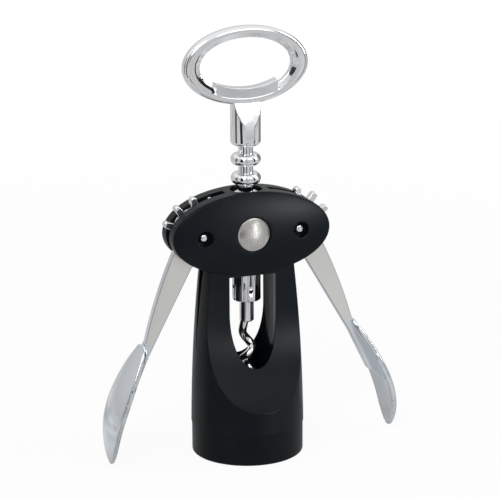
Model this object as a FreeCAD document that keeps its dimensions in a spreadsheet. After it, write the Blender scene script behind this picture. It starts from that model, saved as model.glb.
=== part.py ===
"""Wing corkscrew: a moulded body with two geared lever arms, a ringed rack, a worm and an opener handle.

Frame: millimetres, +Z up along the worm, front towards -Y, origin at the centre of the base collar's
underside. The model is drawn with the arms part-way down, standing on its collar.
"""

import math
import os
import re

import FreeCAD
import Part
import Sketcher

Vector = FreeCAD.Vector
Rotation = FreeCAD.Rotation

doc = FreeCAD.newDocument("wing_corkscrew")

# ---------------------------------------------------------------- driving dimensions

SIZES = [
    # base collar and the bottle socket
    ("collar_height", 11.6, "collar below the seam with the bell"),
    ("bottle_bore_radius", 16.5, "socket that drops over a bottle neck"),
    ("collar_wall", 4.5, "wall of the collar round that socket"),
    ("collar_foot_round", 0.8, "rounding round the foot"),
    ("spigot_height", 5.4, "collar's neck that plugs into the bell"),
    ("spigot_wall", 2.1, "wall of that neck"),
    ("press_clearance", 0.02, "radial clearance of pieces pressed together"),
    # bell
    ("bell_step", 0.25, "bell's foot beyond the collar, at the seam"),
    ("bell_taper", 3.8, "how far the bell narrows up to the head"),
    ("bell_side_radius", 657.0, "long curve of the bell's side"),
    ("bell_neck_height", 76.0, "top of the turned bell, inside the head"),
    ("bottle_stop_height", 20.0, "ledge that the bottle's lip meets"),
    ("cork_chamber_radius", 11.35, "chamber that the cork is drawn into"),
    ("scoop_radius", 52.0, "hollow cut into the front and back of the bell"),
    ("scoop_top_height", 56.0, "where the hollow runs out into a flat"),
    ("flat_half_depth", 6.9, "flat front and back faces under the head"),
    ("slit_floor_reach", 15.4, "floor of the V slits in the bell's sides"),
    ("slit_top_height", 73.5, "widest point of the V slit"),
    ("slit_point_height", 41.5, "point of the V slit"),
    # head
    ("head_centre_height", 86.1, "centre of the oval head"),
    ("head_half_length", 30.8, "half of the oval's length"),
    ("head_half_height", 15.8, "half of the oval's height"),
    ("head_crown_depth", 9.3, "half thickness at the middle"),
    ("head_edge_depth", 7.1, "half thickness round the edge"),
    ("head_edge_round", 1.0, "rounding of the oval's edges"),
    ("chamber_lip", 0.4, "web that shows between the head and the chamber"),
    ("slot_side_clearance", 0.25, "arm to cheek, each side"),
    ("slot_top_start", 8.7, "inner end of the slot along the head's top"),
    ("slot_low_start", 16.8, "inner end of the slot along the head's underside"),
    ("slot_low_overlap", 1.5, "how far that slot runs down into the V slit"),
    ("gear_cavity_clearance", 0.6, "tooth tip to cavity wall"),
    # gears, rack and fits
    ("ring_pitch", 7.2, "spacing of the rack's rings"),
    ("ring_count", 5, "rings on the rack"),
    ("teeth_per_turn", 12, "gear teeth in a full circle"),
    ("teeth_cut", 7, "gear teeth on each arm"),
    ("rack_pitch_line", 5.05, "rack axis to the line where the teeth roll"),
    ("tooth_addendum", 0.75, "tooth above the pitch circle"),
    ("tooth_dedendum", 3.15, "tooth below the pitch circle"),
    ("tooth_tip_half_width", 1.2, "half width at the rounded tip"),
    ("tooth_tip_round", 1.3, "rounding of the tip"),
    ("tooth_root_half_width", 1.5, "half width at the root"),
    ("ring_radius", 5.65, "outside of the rings"),
    ("ring_half_thickness", 2.25, "half thickness of a ring, fully rounded"),
    ("rack_neck_radius", 2.75, "rack between its rings"),
    ("rack_shank_radius", 5.32, "plain lower end of the rack"),
    ("rack_shank_drop", 6.75, "top of that shank, below the head's centre"),
    ("rack_shank_length", 20.3, "length of that shank"),
    ("mesh_gap", 1.5, "pitches from the shank's shoulder to the gap that a tooth sits in"),
    ("rack_foot_chamfer", 0.4, "chamfer at that end"),
    ("rack_guide_clearance", 0.3, "ring to its bore in the head"),
    ("running_clearance", 0.05, "radial clearance of pieces that turn"),
    ("end_float", 0.1, "clearance along the worm's axis"),
    ("stake_radius", 0.9, "punch mark in the rack's shank"),
    ("stake_stand_off", 0.3, "centre of the punch's ball outside the shank"),
    ("stake_rise", 5.45, "punch marks above the rack's lower end"),
    # worm
    ("worm_shank_radius", 2.7, "plain shank above the helix"),
    ("worm_shank_drop", 8.45, "lower end of the shank, below the rack"),
    ("worm_shoulder_depth", 5.35, "top of the shank, below the top of the rack's shank"),
    ("spindle_radius", 1.6, "spindle through the rack"),
    ("wire_radius", 1.58, "wire of the helix"),
    ("helix_radius", 1.9, "centreline of the helix"),
    ("helix_pitch", 10.2, "rise in one turn"),
    ("worm_tip_height", 22.0, "point of the worm"),
    ("worm_point_turn", 0.55, "turns over which the wire tapers to its point"),
    ("worm_point_radius", 0.2, "wire at the very point"),
    ("worm_point_reach", 0.7, "point's distance from the axis"),
    ("worm_start_angle", 61.0, "direction of the point, from +X"),
    ("worm_lead_drop", 10.6, "where the helix starts to straighten, below the shank"),
    ("worm_lead_length", 13.0, "height over which it straightens"),
    ("worm_lead_reach", 0.8, "wire's centre where it enters the shank"),
    ("worm_lead_grip", 1.5, "length of wire inside the shank"),
    ("worm_shank_chamfer", 0.5, "chamfer at the shank's foot"),
    # handle
    ("boss_radius", 5.65, "round boss under the handle"),
    ("boss_gap", 5.3, "underside of the boss above the centre of the top ring"),
    ("boss_foot_round", 1.7, "rounding of the boss's lower edge"),
    ("facet_start_rise", 7.1, "lower end of the sloping facets, above the boss's underside"),
    ("facet_end_rise", 15.6, "where the facets reach the ring, above the same"),
    ("spindle_grip", 11.5, "length of the spindle held in the boss"),
    ("neck_cover", 0.7, "rack neck hidden in the boss"),
    ("handle_rise", 30.0, "centre of the oval handle, above the boss's underside"),
    ("handle_half_length", 24.2, "half of the oval's length"),
    ("handle_half_height", 14.6, "half of the oval's height"),
    ("handle_side_band", 6.3, "width of the band at the ends"),
    ("handle_top_band", 4.3, "width of the band above and below"),
    ("handle_half_depth", 2.45, "half thickness of the band"),
    ("handle_outer_round", 1.9, "rounding of the outside edges"),
    ("handle_side_bevel", 3.4, "width of the inside bevel at the ends"),
    ("handle_top_bevel", 2.1, "width of the inside bevel above and below"),
    ("handle_bevel_depth", 1.3, "how far that bevel falls to the hole"),
    ("opener_half_width", 12.0, "half of the bottle opener's lip"),
    ("opener_rise", 1.9, "lip above the band, at its middle"),
    ("opener_curve_radius", 29.0, "hollow of the lip's edge"),
    ("opener_face_drop", 0.2, "lip's faces, below the band's"),
    ("boss_root", 0.5, "top of the boss, below the band's inner edge"),
    ("facet_root_depth", 1.6, "where the facets end, inside the band"),
    # arms
    ("arm_half_thickness", 1.6, "half thickness of the flat arm and gear"),
    ("pin_radius", 2.05, "pivot pin"),
    ("pin_half_length", 7.3, "half length of the pivot pin"),
    ("pin_end_round", 1.7, "domed ends of the pin"),
    ("pin_well_radius", 2.95, "well round the end of the pin"),
    ("pin_well_floor", 5.6, "depth of the well, from the middle plane"),
    ("stem_root_reach", 3.18, "end of the arm's inner edge inside the gear, inwards from the pin"),
    ("stem_root_drop", 9.01, "the same, downwards"),
    ("stem_outer_reach", 23.2, "arm's outer edge at the paddle, from the pin"),
    ("stem_outer_drop", 38.2, "the same, downwards"),
    ("stem_shoulder_reach", 8.7, "top of the arm's outer edge, beside the gear"),
    ("stem_shoulder_drop", 2.4, "the same, downwards"),
    ("stem_edge_radius", 190.0, "long curve of the outer edge"),
    ("stem_inner_reach", 3.7, "arm's inner edge beside the gear"),
    ("stem_inner_drop", 12.2, "the same, downwards"),
    ("stem_waist_reach", 22.1, "arm's inner edge beside the paddle"),
    ("stem_waist_drop", 43.6, "the same, downwards"),
    ("rib_reach", 29.9, "inner edge of the rib behind the paddle"),
    ("rib_drop", 59.6, "the same, downwards"),
    ("left_arm_lag", 2.5, "degrees that the left arm hangs below the right one: slack in the teeth"),
    # paddles
    ("paddle_top_reach", 22.98, "top of the paddle, outwards from the pin"),
    ("paddle_top_drop", 37.6, "the same, downwards"),
    ("paddle_tip_reach", 39.5, "tip of the paddle, outwards from the pin"),
    ("paddle_tip_drop", 83.95, "the same, downwards"),
    ("paddle_start_angle", 37.7, "slope at the arm, from straight down"),
    ("paddle_end_angle", -12.3, "slope at the tip, from straight down"),
    ("paddle_start_pull", 22.6, "how far the starting slope carries"),
    ("paddle_end_pull", 17.7, "how far the end slope carries"),
    ("paddle_half_width", 10.3, "half of the paddle's greatest width"),
    ("paddle_dish_radius", 28.0, "hollow across the paddle"),
    ("paddle_wall", 1.9, "thickness of the paddle"),
    ("paddle_end_wall", 0.35, "share of that thickness left at the paddle's ends"),
    # buttons
    ("button_radius", 6.3, "metal button on each face of the head"),
    ("button_groove", 0.25, "groove round the button"),
    ("button_seat_depth", 7.6, "seat of the button, from the middle plane"),
    ("button_thickness", 1.9, "thickness of the button"),
    ("button_edge_round", 0.35, "rounding of the button's rim"),
]

sheet = doc.addObject("Spreadsheet::Sheet", "Sizes")
for row, (alias, number, note) in enumerate(SIZES, start=1):
    sheet.set(f"A{row}", note)
    sheet.set(f"B{row}", str(number))
    sheet.setAlias(f"B{row}", alias)
doc.recompute()

ALIASES = {alias for alias, number, note in SIZES}

# Sizes that follow from the driving ones, as expressions of the sheet's names.
COLLAR_RADIUS = "(bottle_bore_radius + collar_wall)"
BELL_FOOT_RADIUS = f"({COLLAR_RADIUS} + bell_step)"
BELL_NECK_RADIUS = f"({BELL_FOOT_RADIUS} - bell_taper)"
PITCH_RADIUS = "(ring_pitch * teeth_per_turn / (2 * pi))"
PIN_REACH = f"({PITCH_RADIUS} + rack_pitch_line)"
ROOT_RADIUS = f"({PITCH_RADIUS} - tooth_dedendum)"
TIP_RADIUS = f"({PITCH_RADIUS} + tooth_addendum)"
CAVITY_RADIUS = f"({TIP_RADIUS} + gear_cavity_clearance)"
SLOT_HALF_WIDTH = "(arm_half_thickness + slot_side_clearance)"
GUIDE_RADIUS = "(ring_radius + rack_guide_clearance)"
SPIGOT_RADIUS = "(bottle_bore_radius + spigot_wall)"
SPIGOT_TOP = "(collar_height + spigot_height)"
CHAMBER_TOP = "(head_centre_height - head_half_height - chamber_lip)"
SHANK_TOP = "(head_centre_height - rack_shank_drop)"
RACK_FOOT = f"({SHANK_TOP} - rack_shank_length)"
SHOULDER_CENTRE = f"({SHANK_TOP} - ring_half_thickness)"
TOP_RING = f"({SHOULDER_CENTRE} + ring_count * ring_pitch)"
BOSS_FOOT = f"({TOP_RING} + boss_gap)"
RACK_TOP = f"({BOSS_FOOT} + neck_cover)"
SPINDLE_TOP = f"({BOSS_FOOT} + spindle_grip)"
FACET_START = f"({BOSS_FOOT} + facet_start_rise)"
FACET_END = f"({BOSS_FOOT} + facet_end_rise)"
HANDLE_HEIGHT = f"({BOSS_FOOT} + handle_rise)"
WORM_FOOT = f"({RACK_FOOT} - worm_shank_drop)"
WORM_SHOULDER = f"({SHANK_TOP} - worm_shoulder_depth)"
INNER_HALF_HEIGHT = "(handle_half_height - handle_top_band)"
LIP_ROOT = f"({HANDLE_HEIGHT} - {INNER_HALF_HEIGHT})"
# The ring gap that the first tooth above the pin's height sits in.
MESH_HEIGHT = f"({SHOULDER_CENTRE} + mesh_gap * ring_pitch)"
MESH_ANGLE = f"(({MESH_HEIGHT} - head_centre_height) / {PITCH_RADIUS} * 180 / pi)"
# Angles of teeth run from straight up, outwards; the first tooth is the lowest on the rack's side.
FIRST_TOOTH_ANGLE = f"(-90 + {MESH_ANGLE} - 360 / teeth_per_turn - left_arm_lag / 2)"


def expression(text):
    """The text with each of the sheet's names written as a reference to the sheet."""
    return re.sub(r"[a-z_]\w*", lambda m: f"Sizes.{m[0]}" if m[0] in ALIASES else m[0], str(text))


def value(text):
    """The number that an expression of the sheet's names gives."""
    return float(sheet.evalExpression(str(text)))


def bind(thing, **texts):
    """Binds properties of an object to expressions; __ in a name stands for a dot."""
    for name, text in texts.items():
        thing.setExpression(name.replace("__", "."), expression(text))


def place(thing, rotation, x, y, z):
    thing.Placement = FreeCAD.Placement(Vector(), rotation)
    bind(thing, Placement__Base__x=x, Placement__Base__y=y, Placement__Base__z=z)


ALONG_Z = Rotation()
ALONG_Y = Rotation(Vector(1, 0, 0), -90)
ALONG_X = Rotation(Vector(0, 1, 0), 90)
FACING_FRONT = Rotation(Vector(1, 0, 0), 90)
FACING_RIGHT = Rotation(Vector(1, 1, 1), 120)

# ---------------------------------------------------------------- features


def cylinder(name, radius, length, rotation=ALONG_Z, x=0, y=0, z=0):
    thing = doc.addObject("Part::Cylinder", name)
    bind(thing, Radius=radius, Height=length)
    place(thing, rotation, x, y, z)
    return thing


def cross_cylinder(name, radius, half_length, x=0, z=0):
    """A cylinder along Y, centred on the middle plane."""
    return cylinder(name, radius, f"2 * ({half_length})", ALONG_Y, x, f"-({half_length})", z)


def block(name, low, high):
    """A box between two corners, each given as three expressions."""
    thing = doc.addObject("Part::Box", name)
    length, width, height = (f"({b}) - ({a})" for a, b in zip(low, high))
    bind(thing, Length=length, Width=width, Height=height)
    place(thing, ALONG_Z, *low)
    return thing


def cut(name, base, *tools):
    thing = doc.addObject("Part::Cut", name)
    thing.Base = base
    thing.Tool = tools[0] if len(tools) == 1 else join(f"{name}_tools", *tools)
    return thing


def join(name, *shapes):
    thing = doc.addObject("Part::MultiFuse", name)
    thing.Shapes = list(shapes)
    return thing


def common(name, *shapes):
    thing = doc.addObject("Part::MultiCommon", name)
    thing.Shapes = list(shapes)
    return thing


def mirrored(name, source, normal):
    thing = doc.addObject("Part::Mirroring", name)
    thing.Source = source
    thing.Normal = normal
    return thing


def rounded(name, base, radius, keep):
    """Rounds the edges of a shape that keep(edge) picks."""
    doc.recompute()
    thing = doc.addObject("Part::Fillet", name)
    thing.Base = base
    size = value(radius)
    edges = base.Shape.Edges
    thing.Edges = [(n, size, size) for n, edge in enumerate(edges, start=1) if keep(edge)]
    return thing


def outline(sketch, corners):
    """Draws a closed outline through corners, each an (x, y) pair of expressions.

    A third item makes the stretch after a corner an arc of that radius, which bulges to the right of
    the way the outline runs.
    """
    count = len(corners)
    spots = [Vector(value(c[0]), value(c[1]), 0) for c in corners]
    starts, ends = [], []
    for n, corner in enumerate(corners):
        a, b = spots[n], spots[(n + 1) % count]
        if len(corner) == 2:
            sketch.addGeometry(Part.LineSegment(a, b), False)
            starts.append(1)
            ends.append(2)
            continue
        radius = value(corner[2])
        chord = b - a
        left = Vector(-chord.y, chord.x, 0).normalize()
        centre = (a + b) * 0.5 + left * math.sqrt(radius**2 - (chord.Length / 2) ** 2)
        angles = [math.atan2(p.y - centre.y, p.x - centre.x) for p in (a, b)]
        circle = Part.Circle(centre, Vector(0, 0, 1), radius)
        sketch.addGeometry(Part.ArcOfCircle(circle, angles[0], angles[1]), False)
        starts.append(1)
        ends.append(2)
    for n in range(count):
        after = (n + 1) % count
        sketch.addConstraint(Sketcher.Constraint("Coincident", n, ends[n], after, starts[after]))
    for n, corner in enumerate(corners):
        for kind, text in zip(("DistanceX", "DistanceY"), corner[:2]):
            index = sketch.addConstraint(Sketcher.Constraint(kind, n, starts[n], value(text)))
            sketch.setExpression(f"Constraints[{index}]", expression(text))
        if len(corner) == 3:
            index = sketch.addConstraint(Sketcher.Constraint("Radius", n, value(corner[2])))
            sketch.setExpression(f"Constraints[{index}]", expression(corner[2]))


def prism(name, corners, rotation, half_length, x=0, y=0, z=0):
    """An outline pushed out by half_length to both sides of its own plane."""
    sketch = doc.addObject("Sketcher::SketchObject", f"{name}_outline")
    outline(sketch, corners)
    place(sketch, rotation, x, y, z)
    thing = doc.addObject("Part::Extrusion", name)
    thing.Base = sketch
    thing.DirMode = "Normal"
    thing.Solid = True
    thing.Symmetric = True
    bind(thing, LengthFwd=f"2 * ({half_length})")
    return thing


def plane_of(body, role):
    return next(f for f in body.Origin.OriginFeatures if f.Role == role)


def body_sketch(body, name):
    """A sketch on the body's own XZ plane: its x runs along X and its y along Z."""
    sketch = body.newObject("Sketcher::SketchObject", name)
    sketch.AttachmentSupport = [(plane_of(body, "XZ_Plane"), "")]
    sketch.MapMode = "FlatFace"
    return sketch


def turned(name, corners, rotation=ALONG_Z, x=0, y=0, z=0):
    """A body turned about its own Z axis from an outline of radii and heights."""
    body = doc.addObject("PartDesign::Body", name)
    sketch = body_sketch(body, f"{name}_section")
    outline(sketch, corners)
    turn = body.newObject("PartDesign::Revolution", f"{name}_turning")
    turn.Profile = sketch
    turn.ReferenceAxis = (sketch, ["V_Axis"])
    turn.Angle = 360
    place(body, rotation, x, y, z)
    return body


def oval_prism(name, half_length, half_height, half_depth, z):
    """An upright oval slab, centred on the middle plane."""
    oval = doc.addObject("Part::Ellipse", f"{name}_oval")
    bind(oval, MajorRadius=half_length, MinorRadius=half_height)
    place(oval, FACING_FRONT, 0, 0, z)
    thing = doc.addObject("Part::Extrusion", name)
    thing.Base = oval
    thing.Dir = Vector(0, 1, 0)
    thing.Solid = True
    thing.Symmetric = True
    bind(thing, LengthFwd=f"2 * ({half_depth})")
    return thing


# ---------------------------------------------------------------- base collar


def make_base_collar():
    corners = [
        ("bottle_bore_radius", "0"),
        (f"{COLLAR_RADIUS} - collar_foot_round", "0", "collar_foot_round"),
        (COLLAR_RADIUS, "collar_foot_round"),
        (COLLAR_RADIUS, "collar_height"),
        (SPIGOT_RADIUS, "collar_height"),
        (SPIGOT_RADIUS, SPIGOT_TOP),
        ("bottle_bore_radius", SPIGOT_TOP),
    ]
    return turned("collar", corners)


# ---------------------------------------------------------------- moulded body: bell and head


def make_bell():
    corners = [
        ("0", "collar_height"),
        (BELL_FOOT_RADIUS, "collar_height", "bell_side_radius"),
        (BELL_NECK_RADIUS, "bell_neck_height"),
        ("0", "bell_neck_height"),
    ]
    bell = turned("bell_turning", corners)
    return cut("bell", bell, *scoop_cutters("front_scoop", -1), *scoop_cutters("rear_scoop", 1))


def scoop_cutters(name, side):
    """The hollow in one face of the bell: a long cylinder below, and a flat above its axis."""
    reach = BELL_FOOT_RADIUS
    floor = "scoop_top_height"
    axis_y = f"{side} * (flat_half_depth + scoop_radius)"
    roller = cylinder(f"{name}_roller", "scoop_radius", f"2 * {reach}", ALONG_X, f"-{reach}", axis_y, floor)
    ends = (f"{side} * flat_half_depth", f"{side} * 2 * {reach}")
    near, far = ends if side > 0 else ends[::-1]
    low = (f"-{reach}", near, floor)
    high = (reach, far, "head_centre_height")
    return roller, block(f"{name}_flat", low, high)


def make_head():
    """An oval slab whose faces are crowned by an ellipsoid, with rounded edges."""
    slab = oval_prism(
        "head_slab", "head_half_length", "head_half_height", "head_crown_depth", "head_centre_height"
    )
    swell = "sqrt(1 - (head_edge_depth / head_crown_depth) ^ 2)"
    crown = doc.addObject("Part::Ellipsoid", "head_crown")
    bind(
        crown,
        Radius1="head_crown_depth",
        Radius2=f"head_half_length / {swell}",
        Radius3=f"head_half_height / {swell}",
    )
    # Radius1 lies along the ellipsoid's own Z; this turn lays it along Y.
    place(crown, FACING_FRONT, 0, 0, "head_centre_height")
    blank = common("head_blank", slab, crown)

    def on_rim(edge):
        box = edge.BoundBox
        return box.XLength > value("head_half_length") and box.ZLength > value("head_half_height")

    return rounded("head", blank, "head_edge_round", on_rim)


def head_cutters(side, name):
    """Gear cavity, arm slots, pin hole and pin wells on one side of the head."""
    pin_x = f"{side} * {PIN_REACH}"
    outside = f"{side} * 2 * head_half_length"
    middle = "head_centre_height"
    pin_hole = "pin_radius + press_clearance"
    cutters = [
        cross_cylinder(f"{name}_cavity", CAVITY_RADIUS, SLOT_HALF_WIDTH, pin_x, middle),
        cross_cylinder(f"{name}_pin_hole", pin_hole, "2 * head_crown_depth", pin_x, middle),
    ]
    rows = (
        ("top", "slot_top_start", middle, f"{middle} + 2 * head_half_height"),
        ("low", "slot_low_start", "slit_top_height - slot_low_overlap", middle),
    )
    for row, start, low_z, high_z in rows:
        ends = (f"{side} * {start}", outside)
        low_x, high_x = ends if side > 0 else ends[::-1]
        low = (low_x, f"-{SLOT_HALF_WIDTH}", low_z)
        high = (high_x, SLOT_HALF_WIDTH, high_z)
        cutters.append(block(f"{name}_{row}_slot", low, high))
    for face, start in (("front", "-2 * head_crown_depth"), ("rear", "pin_well_floor")):
        depth = "2 * head_crown_depth - pin_well_floor"
        well = cylinder(f"{name}_{face}_well", "pin_well_radius", depth, ALONG_Y, pin_x, start, middle)
        cutters.append(well)
    return cutters


def slit_cutter(side, name):
    """V slit down the bell's side, widest under the head."""
    half = SLOT_HALF_WIDTH
    corners = [
        ("0", "slit_point_height"),
        (half, "slit_top_height"),
        (f"-{half}", "slit_top_height"),
    ]
    half_reach = f"{BELL_FOOT_RADIUS} / 2"
    middle = f"{side} * (slit_floor_reach + {half_reach})"
    return prism(f"{name}_slit", corners, FACING_RIGHT, half_reach, x=middle)


def make_body_frame():
    blank = join("frame_blank", make_bell(), make_head())
    spigot_hole = f"{SPIGOT_RADIUS} + press_clearance"
    cutters = [
        cylinder("spigot_hole", spigot_hole, SPIGOT_TOP),
        cylinder("bottle_socket", "bottle_bore_radius", "bottle_stop_height"),
        cylinder("cork_chamber", "cork_chamber_radius", CHAMBER_TOP),
        cylinder("rack_guide", GUIDE_RADIUS, "head_centre_height + 2 * head_half_height"),
        cross_seat("front_button_seat", -1),
        cross_seat("rear_button_seat", 1),
    ]
    for side, name in ((1, "right"), (-1, "left")):
        cutters += head_cutters(side, name)
        cutters.append(slit_cutter(side, name))
    return cut("frame_body", blank, *cutters)


def cross_seat(name, side):
    """Round seat for a button in one face of the head."""
    depth = "head_crown_depth"
    start = "button_seat_depth" if side > 0 else f"-(button_seat_depth + {depth})"
    return cylinder(name, "button_radius + button_groove", depth, ALONG_Y, 0, start, "head_centre_height")


# ---------------------------------------------------------------- pins and buttons


def make_pin(name, side):
    """A plain pin along Y with domed ends."""
    radius, half, dome = "pin_radius", "pin_half_length", "pin_end_round"
    corners = [
        ("0", f"-{half}"),
        (f"{radius} - {dome}", f"-{half}", dome),
        (radius, f"-{half} + {dome}"),
        (radius, f"{half} - {dome}", dome),
        (f"{radius} - {dome}", half),
        ("0", half),
    ]
    return turned(name, corners, ALONG_Y, x=f"{side} * {PIN_REACH}", z="head_centre_height")


def make_button(name, rotation, side):
    """A thin disc with a softened rim, its back on its seat."""
    edge = "button_edge_round"
    corners = [
        ("0", "0"),
        ("button_radius", "0"),
        ("button_radius", f"button_thickness - {edge}", edge),
        (f"button_radius - {edge}", "button_thickness"),
        ("0", "button_thickness"),
    ]
    return turned(name, corners, rotation, y=f"{side} * button_seat_depth", z="head_centre_height")


# ---------------------------------------------------------------- rack


def make_rack():
    """A sleeve with full-round rings, a plain shank below and a bore for the worm's spindle."""
    neck_length = f"{RACK_TOP} - {SHOULDER_CENTRE}"
    solids = [cylinder("rack_neck", "rack_neck_radius", neck_length, z=SHOULDER_CENTRE)]
    for n in range(int(value("ring_count"))):
        middle = f"{TOP_RING} - {n} * ring_pitch"
        flat = "ring_radius - ring_half_thickness"
        foot = f"{middle} - ring_half_thickness"
        disc = cylinder(f"ring_{n}_disc", flat, "2 * ring_half_thickness", z=foot)
        rim = doc.addObject("Part::Torus", f"ring_{n}_rim")
        bind(rim, Radius1=flat, Radius2="ring_half_thickness")
        place(rim, ALONG_Z, 0, 0, middle)
        solids += [disc, rim]
    chamfer = "rack_foot_chamfer"
    shoulder = "ring_half_thickness"
    corners = [
        ("0", RACK_FOOT),
        (f"rack_shank_radius - {chamfer}", RACK_FOOT),
        ("rack_shank_radius", f"{RACK_FOOT} + {chamfer}"),
        ("rack_shank_radius", f"{SHANK_TOP} - {shoulder}", shoulder),
        (f"rack_shank_radius - {shoulder}", SHANK_TOP),
        ("0", SHANK_TOP),
    ]
    solids.append(turned("rack_shank", corners))
    blank = join("rack_blank", *solids)
    tools = [
        cylinder("spindle_bore", "spindle_radius + running_clearance", RACK_TOP),
        cylinder("shank_bore", "worm_shank_radius + running_clearance", f"{WORM_SHOULDER} + end_float"),
    ]
    for n, (x, y) in enumerate(((1, 0), (0, 1), (-1, 0), (0, -1))):
        mark = doc.addObject("Part::Sphere", f"stake_{n}")
        reach = "(rack_shank_radius + stake_stand_off)"
        bind(mark, Radius="stake_radius")
        place(mark, ALONG_Z, f"{x} * {reach}", f"{y} * {reach}", f"{RACK_FOOT} + stake_rise")
        tools.append(mark)
    return cut("rack_sleeve", blank, *tools)


# ---------------------------------------------------------------- worm


POINTS_PER_TURN = 12


def wire_centre(height):
    """The wire's centre at a height: off the axis at the point, and straight where it meets the shank."""
    pitch = value("helix_pitch")
    rise = height - value("worm_tip_height")
    lead = value("worm_lead_length")
    entered = max(height - value(f"{WORM_FOOT} - worm_lead_drop"), 0.0)
    turns = (rise - entered**2 / (2 * lead)) / pitch
    grown = min(1.0, rise / value("worm_point_turn * helix_pitch"))
    reach = value("worm_point_reach") * (1 - grown) + value("helix_radius") * grown
    reach += (value("worm_lead_reach") - reach) * (entered / lead) ** 2
    angle = math.radians(value("worm_start_angle")) + 2 * math.pi * turns
    return Vector(reach * math.cos(angle), reach * math.sin(angle), height)


def wire_piece(name, curve, first, last, radii):
    """The round wire along a stretch of its centre line, with a radius at each end."""
    stretch = curve.copy()
    stretch.segment(first, last)
    pipe = Part.BRepOffsetAPI.MakePipeShell(Part.Wire(stretch.toShape()))
    pipe.setFrenetMode(True)
    for at, radius in ((first, radii[0]), (last, radii[1])):
        ring = Part.makeCircle(radius, curve.value(at), curve.tangent(at)[0])
        pipe.add(Part.Wire(ring), False, False)
    pipe.build()
    pipe.makeSolid()
    piece = doc.addObject("Part::Feature", name)
    piece.Shape = pipe.shape()
    return piece


def make_wire():
    """The worm's wire: it grows from its point, then keeps its size up into the shank."""
    low = value("worm_tip_height")
    high = value(f"{WORM_FOOT} + worm_lead_grip")
    steps = round((high - low) / value("helix_pitch") * POINTS_PER_TURN)
    curve = Part.BSplineCurve()
    curve.interpolate([wire_centre(low + (high - low) * n / steps) for n in range(steps + 1)])
    grown = curve.parameter(wire_centre(low + value("worm_point_turn * helix_pitch")))
    radius = value("wire_radius")
    ends = (curve.FirstParameter, curve.LastParameter)
    point = wire_piece("worm_point", curve, ends[0], grown, (value("worm_point_radius"), radius))
    helix = wire_piece("worm_helix", curve, grown, ends[1], (radius, radius))
    return join("worm_wire", point, helix)


def make_worm():
    """A right-handed helix that tapers to a point, with its shank and spindle."""
    chamfer = "worm_shank_chamfer"
    shank = turned(
        "worm_shank",
        [
            ("0", WORM_FOOT),
            (f"worm_shank_radius - {chamfer}", WORM_FOOT),
            ("worm_shank_radius", f"{WORM_FOOT} + {chamfer}"),
            ("worm_shank_radius", WORM_SHOULDER),
            ("spindle_radius", WORM_SHOULDER),
            ("spindle_radius", SPINDLE_TOP),
            ("0", SPINDLE_TOP),
        ],
    )
    return join("worm_and_spindle", make_wire(), shank)


# ---------------------------------------------------------------- handle


def make_ring():
    """The handle's oval band, softly rounded outside and bevelled inside."""
    inner_length = "handle_half_length - handle_side_band"
    depth = "handle_half_depth"
    outer = oval_prism("handle_outer", "handle_half_length", "handle_half_height", depth, HANDLE_HEIGHT)
    inner = oval_prism("handle_inner", inner_length, INNER_HALF_HEIGHT, f"2 * {depth}", HANDLE_HEIGHT)
    front = handle_bevel("front_bevel")
    rear = mirrored("rear_bevel", front, Vector(0, 1, 0))
    band = cut("handle_band", outer, inner, front, rear)
    middle_width = value("2 * handle_half_length - handle_outer_round")

    def outside(edge):
        return edge.Closed and edge.BoundBox.XLength > middle_width

    return rounded("handle_ring", band, "handle_outer_round", outside)


def handle_bevel(name):
    """An oval funnel that bevels the hole's front edge and runs on clear of the face."""
    foot = "(handle_half_depth - handle_bevel_depth)"
    sections = []
    for n in (0, 2):
        oval = doc.addObject("Part::Ellipse", f"{name}_oval_{n}")
        length = f"handle_half_length - handle_side_band + {n} * handle_side_bevel"
        bind(oval, MajorRadius=length, MinorRadius=f"{INNER_HALF_HEIGHT} + {n} * handle_top_bevel")
        place(oval, FACING_FRONT, 0, f"-({foot} + {n} * handle_bevel_depth)", HANDLE_HEIGHT)
        sections.append(oval)
    funnel = doc.addObject("Part::Loft", name)
    funnel.Sections = sections
    funnel.Solid = True
    funnel.Ruled = True
    return funnel


def make_opener_lip():
    """The lip that stands up inside the ring, with a hollow edge."""
    depth = "(handle_half_depth - opener_face_drop)"
    blank = block(
        "opener_block",
        ("-opener_half_width", f"-{depth}", f"{LIP_ROOT} - handle_top_band / 2"),
        ("opener_half_width", depth, HANDLE_HEIGHT),
    )
    reach = "opener_curve_radius"
    hollow = cross_cylinder("opener_hollow", reach, f"2 * {depth}", 0, f"{LIP_ROOT} + opener_rise + {reach}")
    length = "handle_half_length - handle_outer_round"
    height = "handle_half_height - handle_outer_round"
    limit = oval_prism("opener_limit", length, height, depth, HANDLE_HEIGHT)
    return cut("opener_lip", common("opener_blank", blank, limit), hollow)


def make_boss():
    """The round boss under the ring, faceted front and rear so that it thins to the band."""
    top = f"{LIP_ROOT} - boss_root"
    corners = [
        ("0", BOSS_FOOT),
        ("boss_radius - boss_foot_round", BOSS_FOOT, "boss_foot_round"),
        ("boss_radius", f"{BOSS_FOOT} + boss_foot_round"),
        ("boss_radius", top),
        ("0", top),
    ]
    boss = turned("handle_boss", corners)
    slope = "((facet_end_rise - facet_start_rise) / (boss_radius - handle_half_depth))"
    root_height = f"{FACET_END} + {slope} * (handle_half_depth - facet_root_depth)"
    far = "2 * boss_radius"
    corners = [
        ("boss_radius", FACET_START),
        (far, FACET_START),
        (far, HANDLE_HEIGHT),
        ("facet_root_depth", HANDLE_HEIGHT),
        ("facet_root_depth", root_height),
    ]
    rear = prism("rear_facet", corners, FACING_RIGHT, "boss_radius")
    return cut("faceted_boss", boss, rear, mirrored("front_facet", rear, Vector(0, 1, 0)))


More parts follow.
